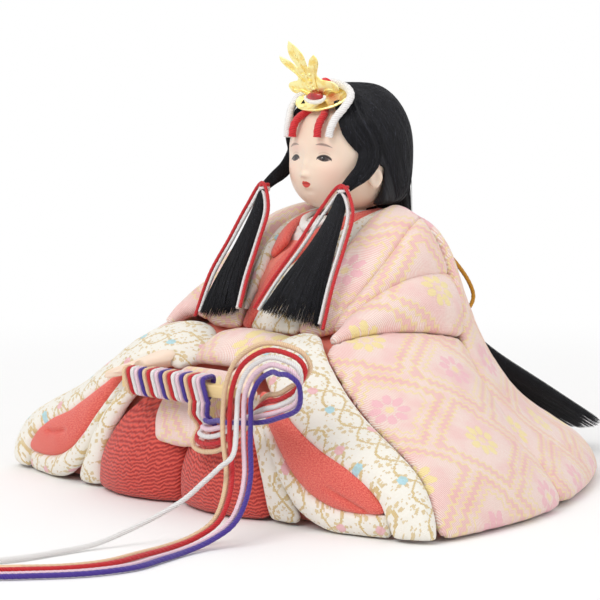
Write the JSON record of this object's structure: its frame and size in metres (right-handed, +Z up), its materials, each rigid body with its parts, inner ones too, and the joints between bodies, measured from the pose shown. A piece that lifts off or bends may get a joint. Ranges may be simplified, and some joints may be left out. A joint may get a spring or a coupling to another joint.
{
  "type": "hina doll",
  "caption": "Seated empress hina doll in a padded brocade robe, with long silk hair, a lift-off gilt crown and a closed fan wrapped in coloured cords.",
  "frame": {"origin": "on the flat underside of the base sheet, straight below the neck peg's axis", "axes": "+Z up along the neck peg, -Y the way the doll faces, +X towards the doll's own left hand"},
  "size_m": [0.1916, 0.2957, 0.1393],
  "materials": {
    "robe_brocade": "satin brocade, pink ground with pink and pale yellow figures",
    "cream_brocade": "satin brocade, cream ground with gold vine",
    "coral_crepe": "silk crepe",
    "white_silk": "plain silk",
    "hakama_crepe": "ribbed silk crepe",
    "pressed_sawdust": "pressed wood-dust paste, bare",
    "base_card": "matte card",
    "skin": "matte shell-white paint",
    "bare_wood": "sanded",
    "hair": "dressed silk threads",
    "gilt": "polished gilt",
    "fan_wood": "sanded cypress",
    "beige_cord": "twisted silk",
    "red_cord": "twisted silk",
    "white_cord": "twisted silk",
    "pink_cord": "twisted silk",
    "purple_cord": "twisted silk",
    "gold_cord": "twisted silk"
  },
  "bodies": {
    "torso": {"core_body": "pressed_sawdust", "base_sheet": "base_card", "sleeve_left": "robe_brocade", "sleeve_right": "robe_brocade", "arm_fold_left": "robe_brocade", "arm_fold_right": "robe_brocade", "arm_upper_left": "robe_brocade", "arm_upper_right": "robe_brocade", "robe_front_left": "robe_brocade", "robe_front_right": "robe_brocade", "robe_back": "robe_brocade", "lap_panel": "robe_brocade", "waist_panel": "robe_brocade", "sleeve_cuff_left": "cream_brocade", "sleeve_cuff_right": "cream_brocade", "sleeve_hem_left": "cream_brocade", "sleeve_hem_right": "cream_brocade", "sleeve_fold_left": "cream_brocade", "sleeve_fold_right": "cream_brocade", "chest_panel": "cream_brocade", "collar_cream_right": "cream_brocade", "sleeve_lining_left": "coral_crepe", "sleeve_lining_right": "coral_crepe", "collar_coral_left": "coral_crepe", "collar_coral_right": "coral_crepe", "collar_white": "white_silk", "hakama_left": "hakama_crepe", "hakama_right": "hakama_crepe", "hand_left": "skin", "hand_right": "skin", "back_loop_cord": "gold_cord"},
    "head": {"head": "skin", "neck_peg": "bare_wood", "hair_cap": "hair", "hair_tail": "hair", "side_lock_left": "hair", "side_lock_right": "hair", "side_tuft_left": "hair", "side_tuft_right": "hair", "tie_cord_red_left": "red_cord", "tie_cord_red_right": "red_cord", "tie_cord_white_left": "white_cord", "tie_cord_white_right": "white_cord"},
    "crown": {"crown_plate": "gilt", "crown_spray": "gilt", "crown_knot": "red_cord", "crown_cord_white": "white_cord", "crown_cord_red": "red_cord"},
    "fan": {"fan": "fan_wood", "fan_wrap_beige": "beige_cord", "fan_wrap_red": "red_cord", "fan_wrap_white": "white_cord", "fan_wrap_pink": "pink_cord", "fan_wrap_purple": "purple_cord", "fan_cord_beige": "beige_cord", "fan_cord_red": "red_cord", "fan_cord_white": "white_cord", "fan_cord_pink": "pink_cord", "fan_cord_purple": "purple_cord"}
  },
  "joints": [
    {"name": "head_lift", "type": "slide", "parent": "torso", "child": "head", "axis": [0, 0, 1], "range_m": [0, 0.024]},
    {"name": "crown_pull", "type": "slide", "parent": "head", "child": "crown", "axis": [0, -0.6157, 0.788], "range_m": [0, 0.011]},
    {"name": "fan_draw", "type": "slide", "parent": "torso", "child": "fan", "axis": [0, -1, 0], "range_m": [0, 0.03]}
  ]
}
